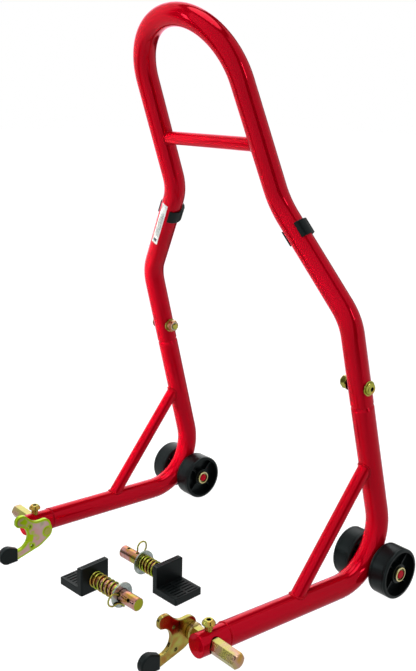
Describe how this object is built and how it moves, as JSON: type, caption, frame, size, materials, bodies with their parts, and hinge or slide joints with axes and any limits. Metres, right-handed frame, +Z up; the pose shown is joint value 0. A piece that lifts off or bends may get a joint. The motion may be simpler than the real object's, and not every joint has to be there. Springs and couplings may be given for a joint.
{
  "type": "motorcycle paddock stand",
  "caption": "Tubular motorcycle paddock stand with a bolted upper handle, sliding hooks, small wheels and loose pinned adapters",
  "frame": {"origin": "on the floor, at the middle of the footprint", "axes": "+Z up, +Y from the hooks to the wheels, +X across to the side whose bar end points that way"},
  "size_m": [0.5164, 0.4229, 0.8029],
  "materials": {
    "red_coat": "gloss powder coat",
    "hook_zinc": "yellow passivated zinc plate",
    "fastener_zinc": "yellow passivated zinc plate",
    "cap_zinc": "pale zinc plate",
    "adapter_zinc": "iridescent zinc plate",
    "black_rubber": "moulded satin",
    "black_plastic": "moulded satin",
    "nylon": "natural nylon",
    "label": "plain printed film"
  },
  "bodies": {
    "frame": {"upper_frame": "red_coat", "crossbar": "red_coat", "lower_leg_left": "red_coat", "lower_leg_right": "red_coat", "brace_left": "red_coat", "brace_right": "red_coat", "socket_left": "red_coat", "socket_right": "red_coat", "socket_end_left": "red_coat", "socket_end_right": "red_coat", "axle_left": "red_coat", "axle_right": "red_coat", "axle_cap_inner_left": "cap_zinc", "axle_cap_inner_right": "cap_zinc", "axle_cap_outer_left": "cap_zinc", "axle_cap_outer_right": "cap_zinc", "frame_bolt_left": "fastener_zinc", "frame_bolt_right": "fastener_zinc", "bolt_washer_left": "fastener_zinc", "bolt_washer_right": "fastener_zinc", "lock_nut_left": "fastener_zinc", "lock_nut_right": "fastener_zinc", "nut_ring_left": "nylon", "nut_ring_right": "nylon", "tube_guard_left": "black_plastic", "tube_guard_right": "black_plastic", "label_strip": "label"},
    "wheel_outer_left": {"wheel_outer_left": "black_plastic"},
    "wheel_inner_left": {"wheel_inner_left": "black_plastic"},
    "hook_left": {"hook_bar_left": "hook_zinc", "hook_collar_left": "hook_zinc", "hook_plate_left": "hook_zinc", "hook_cap_left": "black_rubber"},
    "clamp_screw_left": {"clamp_screw_left": "fastener_zinc"},
    "adapter_left": {"adapter_pad_left": "black_rubber", "adapter_pin_left": "adapter_zinc", "adapter_spring_left": "adapter_zinc"},
    "adapter_washer_left": {"adapter_washer_left": "adapter_zinc"},
    "hairpin_left": {"hairpin_left": "adapter_zinc"},
    "wheel_outer_right": {"wheel_outer_right": "black_plastic"},
    "wheel_inner_right": {"wheel_inner_right": "black_plastic"},
    "hook_right": {"hook_bar_right": "hook_zinc", "hook_collar_right": "hook_zinc", "hook_plate_right": "hook_zinc", "hook_cap_right": "black_rubber"},
    "clamp_screw_right": {"clamp_screw_right": "fastener_zinc"},
    "adapter_right": {"adapter_pad_right": "black_rubber", "adapter_pin_right": "adapter_zinc", "adapter_spring_right": "adapter_zinc"},
    "adapter_washer_right": {"adapter_washer_right": "adapter_zinc"},
    "hairpin_right": {"hairpin_right": "adapter_zinc"}
  },
  "joints": [
    {"name": "wheel_outer_left_spin", "type": "hinge", "parent": "frame", "child": "wheel_outer_left", "pos_m": [-0.2422, 0.1758, 0.0356], "axis": [1, 0, 0], "continuous": true},
    {"name": "wheel_inner_left_spin", "type": "hinge", "parent": "frame", "child": "wheel_inner_left", "pos_m": [-0.1778, 0.1758, 0.0356], "axis": [1, 0, 0], "continuous": true},
    {"name": "hook_slide_left", "type": "slide", "parent": "frame", "child": "hook_left", "axis": [-1, 0, 0], "range_m": [-0.035, 0.007]},
    {"name": "clamp_screw_turn_left", "type": "hinge", "parent": "frame", "child": "clamp_screw_left", "pos_m": [-0.20328, -0.1313, 0.05166], "axis": [0, 0, 1], "continuous": true},
    {"name": "adapter_lift_left", "type": "slide", "parent": "frame", "child": "adapter_left", "axis": [0, 0, 1], "range_m": [0, 0.2]},
    {"name": "washer_slide_left", "type": "slide", "parent": "adapter_left", "child": "adapter_washer_left", "axis": [0.9976, 0.0698, 0], "range_m": [-0.02, 0], "deforming": ["adapter_spring_left"]},
    {"name": "hairpin_pull_left", "type": "slide", "parent": "adapter_left", "child": "hairpin_left", "axis": [0.0616, -0.8808, 0.4695], "range_m": [0, 0.03]},
    {"name": "wheel_outer_right_spin", "type": "hinge", "parent": "frame", "child": "wheel_outer_right", "pos_m": [0.2422, 0.1758, 0.0356], "axis": [1, 0, 0], "continuous": true},
    {"name": "wheel_inner_right_spin", "type": "hinge", "parent": "frame", "child": "wheel_inner_right", "pos_m": [0.1778, 0.1758, 0.0356], "axis": [1, 0, 0], "continuous": true},
    {"name": "hook_slide_right", "type": "slide", "parent": "frame", "child": "hook_right", "axis": [1, 0, 0], "range_m": [-0.035, 0.007]},
    {"name": "clamp_screw_turn_right", "type": "hinge", "parent": "frame", "child": "clamp_screw_right", "pos_m": [0.20328, -0.1313, 0.05166], "axis": [0, 0, 1], "continuous": true},
    {"name": "adapter_lift_right", "type": "slide", "parent": "frame", "child": "adapter_right", "axis": [0, 0, 1], "range_m": [0, 0.2]},
    {"name": "washer_slide_right", "type": "slide", "parent": "adapter_right", "child": "adapter_washer_right", "axis": [-0.9986, -0.0523, 0], "range_m": [-0.015, 0.011], "deforming": ["adapter_spring_right"]},
    {"name": "hairpin_pull_right", "type": "slide", "parent": "adapter_right", "child": "hairpin_right", "axis": [0, 0, 1], "range_m": [0, 0.03]}
  ]
}
